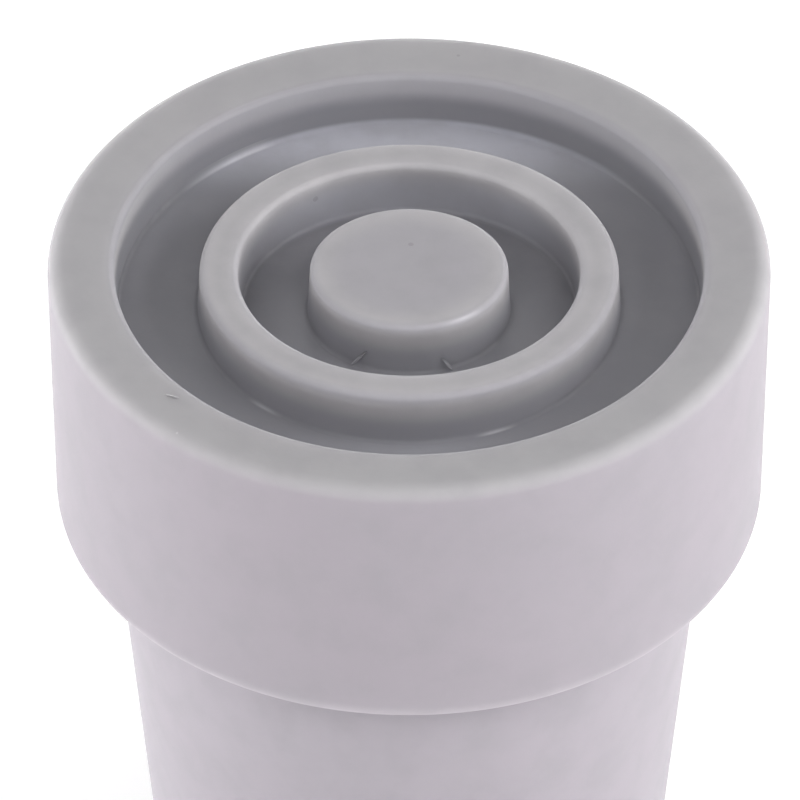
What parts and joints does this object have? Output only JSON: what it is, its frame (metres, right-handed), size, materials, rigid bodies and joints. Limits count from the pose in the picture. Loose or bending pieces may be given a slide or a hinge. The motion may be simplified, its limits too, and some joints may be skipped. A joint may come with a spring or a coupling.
{
  "type": "cane tip",
  "caption": "Push-on rubber tip for a walking cane: a thick round foot with a concentric ring tread, on a tapered sleeve with a blind socket for the shaft.",
  "frame": {"origin": "centre of the sleeve's mouth, on the plane the part stands on", "axes": "+Z along the tip's axis, from the sleeve's mouth up to the tread"},
  "size_m": [0.038, 0.038, 0.048],
  "materials": {
    "rubber": "semi-matte moulded"
  },
  "bodies": {
    "root": {"cane_tip": "rubber"}
  },
  "joints": []
}
